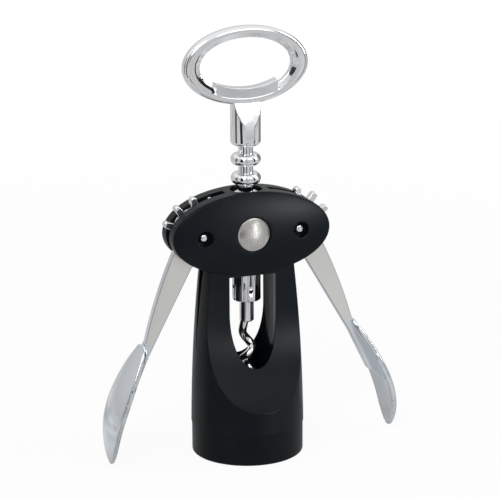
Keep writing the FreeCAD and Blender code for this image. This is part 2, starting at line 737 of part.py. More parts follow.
def make_handle():
    """Oval ring with a bottle opener's lip, on a boss that holds the spindle."""
    blank = join("handle_blank", make_ring(), make_opener_lip(), make_boss())
    socket = cylinder("spindle_socket", "spindle_radius + press_clearance", SPINDLE_TOP)
    recess = cylinder("neck_recess", "rack_neck_radius + running_clearance", f"{RACK_TOP} + end_float")
    return cut("handle_body", blank, socket, recess)


# ---------------------------------------------------------------- arms


def paddle_spine():
    """The paddle's outer ridge in the arm's own plane: x outwards and y upwards from the pin."""
    start = Vector(value("paddle_top_reach"), -value("paddle_top_drop"), 0)
    tip = Vector(value("paddle_tip_reach"), -value("paddle_tip_drop"), 0)
    slopes = [math.radians(value(name)) for name in ("paddle_start_angle", "paddle_end_angle")]
    leave, arrive = (Vector(math.sin(a), -math.cos(a), 0) for a in slopes)
    curve = Part.BezierCurve()
    pulls = [value("paddle_start_pull"), value("paddle_end_pull")]
    curve.setPoles([start, start + leave * pulls[0], tip - arrive * pulls[1], tip])
    return curve


def paddle_section(curve, share):
    """Closed cross-section of the dished paddle at a share of the way down its ridge."""
    spot = curve.value(share)
    along = curve.tangent(share)[0]
    outward = Vector(-along.y, along.x, 0)
    leaf = math.sqrt(math.sin(math.pi * share))
    half_width = value("paddle_half_width") * leaf
    dish = value("paddle_dish_radius")
    wall = value("paddle_wall") * min(1.0, value("paddle_end_wall") + leaf)
    sag = dish - math.sqrt(dish**2 - half_width**2)

    def at(across, depth):
        point = spot - outward * depth
        return Vector(point.x, across, point.y)

    outer = Part.Arc(at(-half_width, sag), at(0, 0), at(half_width, sag)).toShape()
    inner = Part.Arc(at(half_width, sag + wall), at(0, wall), at(-half_width, sag + wall)).toShape()
    rims = [
        Part.makeLine(at(half_width, sag), at(half_width, sag + wall)),
        Part.makeLine(at(-half_width, sag + wall), at(-half_width, sag)),
    ]
    return Part.Wire([outer, rims[0], inner, rims[1]])


# Where the paddle's sections lie along its ridge: closer together where the leaf closes.
PADDLE_SHARES = (0.04, 0.12, 0.24, 0.38, 0.52, 0.66, 0.78, 0.88, 0.95, 0.985, 0.998)
# Where the rib behind the paddle meets the ridge, from its lower end.
RIB_SHARES = (0.62, 0.45, 0.25)


def make_paddle():
    curve = paddle_spine()
    paddle = doc.addObject("Part::Feature", "paddle")
    sections = [paddle_section(curve, share) for share in PADDLE_SHARES]
    paddle.Shape = Part.makeLoft(sections, True, False)
    place(paddle, ALONG_Z, PIN_REACH, 0, "head_centre_height")
    return paddle


def rib_corner(share):
    """A point inside the paddle's wall, on the ridge line, for the rib to end on."""
    curve = paddle_spine()
    spot = curve.value(share)
    along = curve.tangent(share)[0]
    inside = spot - Vector(-along.y, along.x, 0) * value("paddle_wall / 2")
    return f"{inside.x:.4f}", f"{inside.y:.4f}"


def make_arm_plate():
    """The flat arm: gear sector, tapering stem and the rib that runs down behind the paddle."""
    body = doc.addObject("PartDesign::Body", "arm_plate")
    thickness = "2 * arm_half_thickness"

    def pad(name, sketch):
        feature = body.newObject("PartDesign::Pad", name)
        feature.Profile = sketch
        feature.SideType = "Symmetric"
        bind(feature, Length=thickness)
        return feature

    hub = body_sketch(body, "gear_root_circle")
    hub.addGeometry(Part.Circle(Vector(), Vector(0, 0, 1), value(ROOT_RADIUS)), False)
    hub.addConstraint(Sketcher.Constraint("Coincident", 0, 3, -1, 1))
    index = hub.addConstraint(Sketcher.Constraint("Radius", 0, value(ROOT_RADIUS)))
    hub.setExpression(f"Constraints[{index}]", expression(ROOT_RADIUS))
    pad("gear_disc", hub)

    tooth = body_sketch(body, "tooth_outline")
    root, tip, crest = "tooth_root_half_width", "tooth_tip_half_width", "tooth_tip_round"
    foot = f"({ROOT_RADIUS} - {root})"
    crown = f"({TIP_RADIUS} - {crest} + sqrt({crest} ^ 2 - {tip} ^ 2))"
    outline(tooth, [(f"-{root}", foot), (root, foot), (tip, crown, crest), (f"-{tip}", crown)])
    first = pad("first_tooth", tooth)
    doc.recompute()
    pattern = body.newObject("PartDesign::PolarPattern", "gear_teeth")
    pattern.Originals = [first]
    pattern.Axis = (plane_of(body, "Y_Axis"), [""])
    bind(pattern, Angle="360 * (teeth_cut - 1) / teeth_per_turn", Occurrences="teeth_cut")
    body.Tip = pattern
    bind(tooth, AttachmentOffset__Rotation__Angle=f"-{FIRST_TOOTH_ANGLE}")

    stem = body_sketch(body, "stem_outline")
    ridge = [rib_corner(share) for share in RIB_SHARES]
    outline(
        stem,
        [
            ("-stem_root_reach", "-stem_root_drop"),
            ("stem_inner_reach", "-stem_inner_drop"),
            ("stem_waist_reach", "-stem_waist_drop"),
            ("rib_reach", "-rib_drop"),
            *ridge,
            ("stem_outer_reach", "-stem_outer_drop", "stem_edge_radius"),
            ("stem_shoulder_reach", "-stem_shoulder_drop"),
            ("0", "0"),
        ],
    )
    pad("stem", stem)
    place(body, ALONG_Z, PIN_REACH, 0, "head_centre_height")
    return body


def make_right_arm():
    blank = join("arm_blank", make_arm_plate(), make_paddle())
    hole = "pin_radius + running_clearance"
    bore = cross_cylinder("arm_bore", hole, "2 * arm_half_thickness", PIN_REACH, "head_centre_height")
    return cut("right_arm", blank, bore)


def make_left_arm(right_arm):
    """The right arm's mirror image, turned about its own pin by the slack in the teeth."""
    arm = mirrored("left_arm", right_arm, Vector(1, 0, 0))
    lag = "left_arm_lag"
    pin_x = f"-{PIN_REACH}"
    pin_z = "head_centre_height"
    place(
        arm,
        Rotation(Vector(0, 1, 0), -value(lag)),
        f"{pin_x} * (1 - cos({lag} * 1 deg)) + {pin_z} * sin({lag} * 1 deg)",
        0,
        f"{pin_z} * (1 - cos({lag} * 1 deg)) - {pin_x} * sin({lag} * 1 deg)",
    )
    return arm


right_arm = make_right_arm()

PARTS = {
    "base_collar": make_base_collar(),
    "body_frame": make_body_frame(),
    "left_pivot_pin": make_pin("left_pin", -1),
    "right_pivot_pin": make_pin("right_pin", 1),
    "front_button": make_button("front_disc", FACING_FRONT, -1),
    "rear_button": make_button("rear_disc", ALONG_Y, 1),
    "rack": make_rack(),
    "worm": make_worm(),
    "handle": make_handle(),
    "right_lever": right_arm,
    "left_lever": make_left_arm(right_arm),
}
for node, thing in PARTS.items():
    thing.Label = node
doc.recompute()

failed = [thing.Name for thing in doc.Objects if {"Invalid", "Error"} & set(thing.State)]
if failed:
    raise RuntimeError(f"features failed: {failed}")
for node, thing in PARTS.items():
    if thing.Shape.isNull() or not thing.Shape.isValid():
        raise RuntimeError(f"{node} has no valid shape")

os.makedirs("parts", exist_ok=True)
for node, thing in PARTS.items():
    thing.Shape.exportStep(f"parts/{node}.step")
    solids = len(thing.Shape.Solids)
    print(f"{node}: {solids} solid, {thing.Shape.Volume:.1f} mm3")
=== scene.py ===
"""Wing corkscrew: softened castings, finishes and a pale studio, laid out as a Blender add-on."""

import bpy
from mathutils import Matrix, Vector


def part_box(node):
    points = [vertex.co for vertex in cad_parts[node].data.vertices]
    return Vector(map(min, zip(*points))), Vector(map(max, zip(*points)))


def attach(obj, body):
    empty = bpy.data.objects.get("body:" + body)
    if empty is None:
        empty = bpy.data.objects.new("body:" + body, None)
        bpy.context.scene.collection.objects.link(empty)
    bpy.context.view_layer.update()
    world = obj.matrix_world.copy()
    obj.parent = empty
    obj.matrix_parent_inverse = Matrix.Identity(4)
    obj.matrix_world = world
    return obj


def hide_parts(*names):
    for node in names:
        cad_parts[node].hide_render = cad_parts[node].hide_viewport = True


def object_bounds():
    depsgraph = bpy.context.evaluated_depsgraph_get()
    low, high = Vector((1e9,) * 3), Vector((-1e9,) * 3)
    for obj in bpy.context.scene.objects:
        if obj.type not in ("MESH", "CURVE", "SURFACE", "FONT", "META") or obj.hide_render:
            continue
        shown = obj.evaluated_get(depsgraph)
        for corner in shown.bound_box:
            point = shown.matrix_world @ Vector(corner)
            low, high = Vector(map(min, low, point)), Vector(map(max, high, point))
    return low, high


bl_info = {
    "name": "Wing Corkscrew",
    "version": (1, 0, 0),
    "blender": (4, 5, 0),
    "location": "3D View > Sidebar > Corkscrew",
    "description": "Dresses the wing corkscrew's solids with softened edges, finishes and a studio",
    "category": "Object",
}

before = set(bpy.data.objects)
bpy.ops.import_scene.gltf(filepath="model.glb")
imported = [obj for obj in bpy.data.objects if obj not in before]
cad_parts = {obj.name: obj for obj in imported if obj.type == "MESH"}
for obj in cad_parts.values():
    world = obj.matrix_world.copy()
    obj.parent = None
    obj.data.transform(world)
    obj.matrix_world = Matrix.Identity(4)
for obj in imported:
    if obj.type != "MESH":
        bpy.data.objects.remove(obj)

import math

import bpy
from bpy.props import FloatProperty, FloatVectorProperty, IntProperty, PointerProperty
from mathutils import Matrix, Vector
from mathutils.bvhtree import BVHTree

CAD_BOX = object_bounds()
MM = 0.001
QUARTER_TURN = math.radians(90)
WHITE = (1, 1, 1, 1)

# Clean-up and rounding of the solids' meshes
MERGE_REACH = 0.002 * MM
FLAT_ANGLE = math.radians(0.04)
SHARP_ANGLE = math.radians(28)
SMOOTH_ANGLE = math.radians(40)
EDGE_SEGMENTS = 3
ROUNDING_REACH = 0.75
FACE_WEIGHT = 60

# How squarely a face looks along an axis, as a cosine
SQUARE_ON = 0.98
ROUGHLY_ON = 0.9

# The body's chamber: its wall, and how far its top is below the top of the head
CHAMBER_RADIUS = 11.35 * MM
CHAMBER_TOLERANCE = 0.4 * MM
CHAMBER_TOP_DROP = 32 * MM

# The levers: half the arm's thickness, what is wider than the arm, and the gear's foot over the pin's
ARM_FACE_DEPTH = 1.6 * MM
ARM_FACE_TOLERANCE = 0.02 * MM
WIDER_THAN_ARM = 2.2 * MM
GEAR_FOOT_RISE = 1 * MM

# The buttons: sides, chamfer as a share of the depth, and its rise as a share of its width
BUTTON_SIDES = 128
CHAMFER_SHARE = 0.16
CHAMFER_RISE = 0.6

# The handle's sloping facet: its middle from the front and from the handle's foot, and where it faces
FACET_FRONT = -4.2 * MM
FACET_RISE = 11.4 * MM
FACET_NORMAL = Vector((0, -8.5, 3.2)).normalized()

# The floor's size, and its gap under the part
FLOOR_SIZE = 4.0
FLOOR_GAP = 0.02 * MM

# Colours that are mixed into the finishes
WORN_PLASTIC = (0.10, 0.11, 0.12, 1)
SMUDGED_METAL = (0.45, 0.45, 0.45, 1)
BRUSH_LINE = (0.3, 0.3, 0.3, 1)

# The dome's shade in reflections, from straight down (0) over the horizon (0.5) to straight up (1)
DOME_SHADES = (
    (0, 0.55), (0.5, 0.55), (0.56, 0.60), (0.66, 0.66), (0.74, 0.80), (0.82, 0.95), (1, 0.95),
)

# ------------------------------------------------------------------ settings


class PlasticSettings(bpy.types.PropertyGroup):
    """The moulded black body and collar."""

    colour: FloatVectorProperty(
        name="Plastic", subtype="COLOR", size=3, min=0, max=1, default=(0.0028, 0.0046, 0.0066),
        description="Colour of the moulded body and collar",
    )
    roughness: FloatProperty(
        name="Roughness", min=0, max=1, default=0.34, description="Roughness of the outer moulded faces",
    )
    chamber_roughness: FloatProperty(
        name="Chamber roughness", min=0, max=1, default=0.14,
        description="Roughness of the polished chamber wall",
    )
    grain: FloatProperty(
        name="Grain", unit="LENGTH", min=0, default=0.00045, description="Size of the moulded grain",
    )
    edge: FloatProperty(
        name="Edge rounding", unit="LENGTH", min=0, default=0.00022,
        description="Rounding of the moulding's edges",
    )


class MetalSettings(bpy.types.PropertyGroup):
    """Plated castings, turned parts and buttons."""

    chrome: FloatVectorProperty(
        name="Chrome", subtype="COLOR", size=3, min=0, max=1, default=(0.84, 0.85, 0.87),
        description="Colour of the bright plating",
    )
    lever: FloatVectorProperty(
        name="Paddles", subtype="COLOR", size=3, min=0, max=1, default=(0.76, 0.80, 0.84),
        description="Colour of the paddles' plating",
    )
    lever_polish: FloatProperty(
        name="Paddle polish", min=0, max=1, default=0.13, description="Roughness of the paddles' plating",
    )
    lever_edge: FloatProperty(
        name="Lever edges", unit="LENGTH", min=0, default=0.00042,
        description="Rounding of the levers' edges",
    )
    flat: FloatVectorProperty(
        name="Arm flats", subtype="COLOR", size=3, min=0, max=1, default=(0.86, 0.855, 0.83),
        description="Colour of the arms' flat faces",
    )
    nickel: FloatVectorProperty(
        name="Nickel", subtype="COLOR", size=3, min=0, max=1, default=(0.58, 0.57, 0.55),
        description="Colour of the brushed buttons",
    )
    polish: FloatProperty(
        name="Polish", min=0, max=1, default=0.06, description="Roughness of the bright plating",
    )
    edge: FloatProperty(
        name="Edge rounding", unit="LENGTH", min=0, default=0.00028,
        description="Rounding of the castings' edges",
    )


class ButtonSettings(bpy.types.PropertyGroup):
    """The two round buttons in the head."""

    crown: FloatProperty(
        name="Crown", unit="LENGTH", min=0, default=0.00085, description="Height of the button's crown",
    )
    rings: IntProperty(name="Rings", min=2, default=10, description="Rings that shape the crown")


class StudioSettings(bpy.types.PropertyGroup):
    """Camera, the dome's light and the floor."""

    azimuth: FloatProperty(
        name="Azimuth", subtype="ANGLE", default=math.radians(-19.911),
        description="Camera's turn round the part, from the front",
    )
    elevation: FloatProperty(
        name="Elevation", subtype="ANGLE", default=math.radians(15.628),
        description="Camera's height above the horizon",
    )
    roll: FloatProperty(
        name="Roll", subtype="ANGLE", default=math.radians(-0.342), description="Camera's roll",
    )
    distance: FloatProperty(
        name="Distance", unit="LENGTH", default=0.957635, description="Camera to the point it looks at",
    )
    target: FloatVectorProperty(
        name="Target", subtype="TRANSLATION", unit="LENGTH", size=3,
        default=(0.001314, -0.000476, 0.078047), description="Point that the camera looks at",
    )
    lens: FloatProperty(name="Lens", default=184.94, description="Focal length in millimetres")
    floor: FloatVectorProperty(
        name="Floor", subtype="COLOR", size=3, min=0, max=1, default=(0.9, 0.9, 0.9),
        description="Colour of the floor",
    )
    ambient: FloatProperty(name="Ambient", min=0, default=0.5, description="Light of the plain dome")
    mirrored: FloatProperty(
        name="Mirrored floor", min=0, default=0.63, description="Floor's brightness in reflections",
    )


SETTINGS = {
    "plastic": PlasticSettings,
    "metal": MetalSettings,
    "button": ButtonSettings,
    "studio": StudioSettings,
}


def settings(name):
    """The scene's settings for one group of pieces."""
    return getattr(bpy.context.scene, f"corkscrew_{name}")


# ------------------------------------------------------------------ shader nodes


FINISH_OUTPUTS = (
    ("Colour", "NodeSocketColor"),
    ("Roughness", "NodeSocketFloat"),
    ("Height", "NodeSocketFloat"),
)


def new_group(name, inputs, outputs):
    """An empty shader group with its named sockets, and its input and output nodes."""
    group = bpy.data.node_groups.new(name, "ShaderNodeTree")
    for label, kind, default in inputs:
        socket = group.interface.new_socket(label, in_out="INPUT", socket_type=kind)
        if default is not None:
            socket.default_value = default
    for label, kind in outputs:
        group.interface.new_socket(label, in_out="OUTPUT", socket_type=kind)
    return group, group.nodes.new("NodeGroupInput"), group.nodes.new("NodeGroupOutput")


def add_node(tree, kind, values=None, **attributes):
    """A node with attributes and socket values; a value that is a socket is linked."""
    node = tree.nodes.new(kind)
    for name, setting in attributes.items():
        setattr(node, name, setting)
    for name, given in (values or {}).items():
        if isinstance(given, bpy.types.NodeSocket):
            tree.links.new(given, node.inputs[name])
        else:
            node.inputs[name].default_value = given
    return node


def noise_at(tree, coordinates, scale, detail, stretch=(1, 1, 1)):
    """Noise over the coordinates, drawn out along an axis by a small stretch value."""
    mapping = add_node(tree, "ShaderNodeMapping", {"Vector": coordinates, "Scale": stretch})
    noise = add_node(
        tree, "ShaderNodeTexNoise",
        {"Vector": mapping.outputs["Vector"], "Scale": scale, "Detail": detail},
    )
    return noise.outputs["Fac"]


def spread(tree, fac, low, high, start=0.0, end=1.0):
    """Maps start to end onto low to high."""
    node = add_node(
        tree, "ShaderNodeMapRange",
        {"Value": fac, "From Min": start, "From Max": end, "To Min": low, "To Max": high},
    )
    return node.outputs["Result"]


def calculate(tree, operation, *values):
    """The result of a sum on numbers or sockets."""
    return add_node(tree, "ShaderNodeMath", dict(enumerate(values)), operation=operation).outputs[0]


def mixed_shader(tree, factor, first, second):
    """A shader between two shaders."""
    return add_node(tree, "ShaderNodeMixShader", {0: factor, 1: first.outputs[0], 2: second.outputs[0]})


def cleared_tree(owner):
    """The emptied node tree of a material or a world."""
    owner.use_nodes = True
    owner.node_tree.nodes.clear()
    return owner.node_tree


def seen_directly(tree, path):
    """One for rays that come from the camera, straight or through something clear, otherwise zero."""
    return calculate(tree, "MAXIMUM", path.outputs["Is Camera Ray"], path.outputs["Is Transmission Ray"])


def mixed_colour(tree, factor, first, second):
    """A colour between two colours."""
    node = tree.nodes.new("ShaderNodeMix")
    node.data_type = "RGBA"
    sockets = {socket.identifier: socket for socket in node.inputs}
    for name, given in (("Factor_Float", factor), ("A_Color", first), ("B_Color", second)):
        if isinstance(given, bpy.types.NodeSocket):
            tree.links.new(given, sockets[name])
        else:
            sockets[name].default_value = given
    return next(socket for socket in node.outputs if socket.identifier == "Result_Color")


def varied(tree, noise, amount, middle):
    """A value that the noise moves by up to half the amount to each side of its middle."""
    return calculate(tree, "MULTIPLY_ADD", calculate(tree, "SUBTRACT", noise, 0.5), amount, middle)


def moulded_grain_group():
    """Fine moulded grain, with slow changes of gloss where the plastic has been handled."""
    group, given, made = new_group(
        "moulded_grain",
        [
            ("Vector", "NodeSocketVector", None),
            ("Grain Size", "NodeSocketFloat", 0.0004),
            ("Roughness", "NodeSocketFloat", 0.35),
            ("Handling", "NodeSocketFloat", 0.06),
            ("Colour", "NodeSocketColor", (0.01, 0.01, 0.01, 1)),
        ],
        FINISH_OUTPUTS,
    )
    vector = given.outputs["Vector"]
    grain_scale = calculate(group, "DIVIDE", 1.0, given.outputs["Grain Size"])
    grain = noise_at(group, vector, scale=grain_scale, detail=2.0)
    handled = noise_at(group, vector, scale=55.0, detail=3.0)
    rough = varied(group, handled, given.outputs["Handling"], given.outputs["Roughness"])
    bloom = spread(group, handled, low=0.0, high=0.035, start=0.45, end=0.75)
    lighter = mixed_colour(group, bloom, given.outputs["Colour"], WORN_PLASTIC)
    group.links.new(lighter, made.inputs["Colour"])
    group.links.new(rough, made.inputs["Roughness"])
    group.links.new(grain, made.inputs["Height"])
    return group


def plated_casting_group():
    """Slow waviness of a casting under its plating, with faint smudges."""
    group, given, made = new_group(
        "plated_casting",
        [
            ("Vector", "NodeSocketVector", None),
            ("Roughness", "NodeSocketFloat", 0.06),
            ("Smudge", "NodeSocketFloat", 0.06),
            ("Colour", "NodeSocketColor", (0.8, 0.8, 0.8, 1)),
        ],
        FINISH_OUTPUTS,
    )
    vector = given.outputs["Vector"]
    wave = noise_at(group, vector, scale=160.0, detail=1.0)
    smudge = noise_at(group, vector, scale=90.0, detail=4.0)
    patch = spread(group, smudge, low=0.0, high=1.0, start=0.5, end=0.8)
    rough = calculate(
        group, "MULTIPLY_ADD", patch, given.outputs["Smudge"], given.outputs["Roughness"],
    )
    dulling = spread(group, patch, low=0.0, high=0.12)
    dulled = mixed_colour(group, dulling, given.outputs["Colour"], SMUDGED_METAL)
    group.links.new(dulled, made.inputs["Colour"])
    group.links.new(rough, made.inputs["Roughness"])
    group.links.new(wave, made.inputs["Height"])
    return group


def brushing_group():
    """Fine parallel brush lines."""
    group, given, made = new_group(
        "brushing",
        [
            ("Vector", "NodeSocketVector", None),
            ("Stretch", "NodeSocketVector", (0.02, 1, 1)),
            ("Roughness", "NodeSocketFloat", 0.3),
            ("Depth", "NodeSocketFloat", 0.1),
            ("Colour", "NodeSocketColor", (0.6, 0.6, 0.6, 1)),
        ],
        FINISH_OUTPUTS,
    )
    lines = noise_at(
        group, given.outputs["Vector"], scale=2600.0, detail=3.0, stretch=given.outputs["Stretch"],
    )
    rough = varied(group, lines, given.outputs["Depth"], given.outputs["Roughness"])
    darker = spread(group, lines, low=0.0, high=0.35, start=0.4, end=0.8)
    tint = mixed_colour(group, darker, given.outputs["Colour"], BRUSH_LINE)
    group.links.new(tint, made.inputs["Colour"])
    group.links.new(rough, made.inputs["Roughness"])
    group.links.new(lines, made.inputs["Height"])
    return group


GROUP_MAKERS = {
    "moulded_grain": moulded_grain_group,
    "plated_casting": plated_casting_group,
    "brushing": brushing_group,
}


def shared_group(name):
    """The node group of that name, built the first time it is asked for."""
    return bpy.data.node_groups.get(name) or GROUP_MAKERS[name]()


# The materials made so far, by name
FINISHED = {}


def finished_material(name, group_name, values, shader_values, bump):
    """A Principled material whose colour, roughness and bump come from a shared group.

    The bump is given as its strength and its height.
    """
    material = FINISHED.get(name)
    if material:
        return material
    material = bpy.data.materials.new(name)
    FINISHED[name] = material
    material.use_nodes = True
    tree = material.node_tree
    shader = tree.nodes["Principled BSDF"]
    place = add_node(tree, "ShaderNodeTexCoord")
    group = add_node(tree, "ShaderNodeGroup", node_tree=shared_group(group_name))
    tree.links.new(place.outputs["Object"], group.inputs["Vector"])
    for label, given in values.items():
        group.inputs[label].default_value = given
    for label, given in shader_values.items():
        shader.inputs[label].default_value = given
    tree.links.new(group.outputs["Colour"], shader.inputs["Base Color"])
    tree.links.new(group.outputs["Roughness"], shader.inputs["Roughness"])
    strength, height = bump
    relief = add_node(
        tree, "ShaderNodeBump",
        {"Strength": strength, "Distance": height, "Height": group.outputs["Height"]},
    )
    tree.links.new(relief.outputs["Normal"], shader.inputs["Normal"])
    return material


def rgba(colour):
    """A colour with full opacity."""
    return (*colour, 1.0)


def black_plastic():
    look = settings("plastic")
    return finished_material(
        "moulded_black", "moulded_grain",
        {"Grain Size": look.grain, "Roughness": look.roughness, "Handling": 0.10,
         "Colour": rgba(look.colour)},
        {"Specular IOR Level": 0.11}, bump=(0.10, 0.04 * MM),
    )


def polished_plastic():
    look = settings("plastic")
    return finished_material(
        "polished_chamber", "moulded_grain",
        {"Grain Size": look.grain * 4, "Roughness": look.chamber_roughness, "Handling": 0.05,
         "Colour": rgba(look.colour)},
        {"Specular IOR Level": 0.45}, bump=(0.05, 0.04 * MM),
    )


def bright_chrome():
    look = settings("metal")
    return finished_material(
        "bright_chrome", "plated_casting",
        {"Roughness": look.polish, "Smudge": 0.05, "Colour": rgba(look.chrome)},
        {"Metallic": 1.0}, bump=(0.25, 0.10 * MM),
    )


def satin_flat():
    look = settings("metal")
    return finished_material(
        "satin_arm_flat", "plated_casting",
        {"Roughness": 0.30, "Smudge": 0.04, "Colour": rgba(look.flat)},
        {"Metallic": 1.0}, bump=(0.10, 0.05 * MM),
    )


def lever_plating():
    look = settings("metal")
    return finished_material(
        "lever_plating", "plated_casting",
        {"Roughness": look.lever_polish, "Smudge": 0.05, "Colour": rgba(look.lever)},
        {"Metallic": 1.0}, bump=(0.12, 0.06 * MM),
    )


def brushed_nickel():
    look = settings("metal")
    return finished_material(
        "brushed_nickel", "brushing",
        {"Stretch": (1, 1, 0.02), "Roughness": 0.24, "Depth": 0.16, "Colour": rgba(look.nickel)},
        {"Metallic": 1.0}, bump=(0.20, 0.03 * MM),
    )


# ------------------------------------------------------------------ mesh helpers


def select_only(obj):
    """Makes one object the whole selection, out of edit mode."""
    if bpy.context.object and bpy.context.object.mode != "OBJECT":
        bpy.ops.object.mode_set(mode="OBJECT")
    bpy.ops.object.select_all(action="DESELECT")
    obj.select_set(True)
    bpy.context.view_layer.objects.active = obj


def apply_modifier(obj, kind, **options):
    """Adds a modifier, sets it and applies it."""
    select_only(obj)
    modifier = obj.modifiers.new(kind.title(), kind)
    for name, given in options.items():
        setattr(modifier, name, given)
    bpy.ops.object.modifier_apply(modifier=modifier.name)


def merged_copy(node, name):
    """A copy of a solid's mesh with its loose triangles merged and flat faces joined up."""
    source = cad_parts[node]
    piece = bpy.data.objects.new(name, source.data.copy())
    bpy.context.scene.collection.objects.link(piece)
    piece.data.materials.clear()
    select_only(piece)
    bpy.ops.object.mode_set(mode="EDIT")
    bpy.ops.mesh.select_all(action="SELECT")
    bpy.ops.mesh.remove_doubles(threshold=MERGE_REACH)
    bpy.ops.mesh.dissolve_limited(angle_limit=FLAT_ANGLE)
    bpy.ops.object.mode_set(mode="OBJECT")
    return piece


def select_faces(piece, wanted):
    """Opens the piece in edit mode with only the faces that wanted(face) picks selected."""
    select_only(piece)
    bpy.ops.object.mode_set(mode="EDIT")
    bpy.ops.mesh.select_mode(type="FACE")
    bpy.ops.mesh.select_all(action="DESELECT")
    bpy.ops.object.mode_set(mode="OBJECT")
    for face in piece.data.polygons:
        face.select = wanted(face)
    bpy.ops.object.mode_set(mode="EDIT")


def split_level(piece, height):
    """Cuts the piece's faces along a level line, so that each side can have its own finish."""
    select_only(piece)
    bpy.ops.object.mode_set(mode="EDIT")
    bpy.ops.mesh.select_all(action="SELECT")
    bpy.ops.mesh.bisect(plane_co=(0, 0, height), plane_no=(0, 0, 1))
    bpy.ops.object.mode_set(mode="OBJECT")


def lay_back(piece, node, reach):
    """Puts back on the solid each point that the rounding threw further than reach or past its box."""
    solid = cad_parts[node].data
    low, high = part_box(node)
    surface = BVHTree.FromPolygons(
        [point.co for point in solid.vertices], [face.vertices for face in solid.polygons]
    )
    for point in piece.data.vertices:
        spot, _, _, distance = surface.find_nearest(point.co)
        if distance > reach:
            point.co = spot
        point.co = [min(max(place, start), end) for place, start, end in zip(point.co, low, high)]


def soften(piece, node, width):
    """Rounds the piece's sharp edges, keeps it on its solid, and smooths what is round."""
    apply_modifier(
        piece, "BEVEL", width=width, segments=EDGE_SEGMENTS, limit_method="ANGLE",
        angle_limit=SHARP_ANGLE, use_clamp_overlap=False, miter_outer="MITER_ARC",
    )
    lay_back(piece, node, ROUNDING_REACH * width)
    smooth(piece)
    apply_modifier(piece, "WEIGHTED_NORMAL", keep_sharp=True, weight=FACE_WEIGHT)


def smooth(piece):
    """Shades the piece smooth, except over its sharp edges."""
    select_only(piece)
    bpy.ops.object.shade_smooth_by_angle(angle=SMOOTH_ANGLE)


def finish_with(piece, material):
    """Adds a finish and gives its index; the first one covers the whole piece."""
    piece.data.materials.append(material)
    return len(piece.data.materials) - 1


def paint_faces(piece, index, wanted):
    """Gives a material to the faces that wanted(face) picks."""
    for face in piece.data.polygons:
        if wanted(face):
            face.material_index = index


def settle(piece, body, nodes):
    """Sets the piece on its body in place of the solids."""
    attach(piece, body)
    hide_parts(*nodes)


# ------------------------------------------------------------------ pieces


class PieceOperator(bpy.types.Operator):
    """Shared options of the operators below."""

    bl_options = {"REGISTER", "UNDO"}


class CORKSCREW_OT_body(PieceOperator):
    """Moulded bell and head, and the base collar under them"""

    bl_idname = "corkscrew.body"
    bl_label = "Moulded Body"

    def execute(self, context):
        width = settings("plastic").edge
        shell = merged_copy("body_frame", "moulded_body")
        soften(shell, "body_frame", width)
        finish_with(shell, black_plastic())
        polished = finish_with(shell, polished_plastic())
        chamber_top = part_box("body_frame")[1].z - CHAMBER_TOP_DROP

        def on_chamber_wall(face):
            spot = face.center
            from_axis = math.hypot(spot.x, spot.y)
            inward = face.normal.x * spot.x + face.normal.y * spot.y < -ROUGHLY_ON * from_axis
            on_wall = abs(from_axis - CHAMBER_RADIUS) < CHAMBER_TOLERANCE
            return inward and on_wall and spot.z < chamber_top

        paint_faces(shell, polished, on_chamber_wall)
        settle(shell, "body", ["body_frame"])
        collar = merged_copy("base_collar", "base_ring")
        soften(collar, "base_collar", width)
        finish_with(collar, black_plastic())
        settle(collar, "body", ["base_collar"])
        return {"FINISHED"}


class CORKSCREW_OT_levers(PieceOperator):
    """The two geared arms with their dished paddles"""

    bl_idname = "corkscrew.levers"
    bl_label = "Levers"

    def execute(self, context):
        for side, body in (("left", "left_arm"), ("right", "right_arm")):
            self.make_lever(side, body)
        return {"FINISHED"}

    def make_lever(self, side, body):
        node = f"{side}_lever"
        arm = merged_copy(node, f"{side}_geared_arm")
        gear_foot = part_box(f"{side}_pivot_pin")[0].z + GEAR_FOOT_RISE
        paddle_top = max(
            point.co.z for point in arm.data.vertices
            if abs(point.co.y) > WIDER_THAN_ARM and point.co.z < gear_foot
        )
        split_level(arm, gear_foot)
        split_level(arm, paddle_top)
        soften(arm, node, settings("metal").lever_edge)
        finish_with(arm, lever_plating())
        flat = finish_with(arm, satin_flat())
        toothed = finish_with(arm, bright_chrome())

        def on_flat(face):
            level = abs(abs(face.center.y) - ARM_FACE_DEPTH) < ARM_FACE_TOLERANCE
            between = paddle_top < face.center.z < gear_foot
            return level and between and abs(face.normal.y) > SQUARE_ON

        paint_faces(arm, flat, on_flat)
        paint_faces(arm, toothed, lambda face: face.center.z > gear_foot)
        settle(arm, body, [node])


class CORKSCREW_OT_pins(PieceOperator):
    """Polished pivot pins"""

    bl_idname = "corkscrew.pins"
    bl_label = "Pivot Pins"

    def execute(self, context):
        for side in ("left", "right"):
            pin = merged_copy(f"{side}_pivot_pin", f"{side}_pin")
            smooth(pin)
            finish_with(pin, bright_chrome())
            settle(pin, "body", [f"{side}_pivot_pin"])
        return {"FINISHED"}


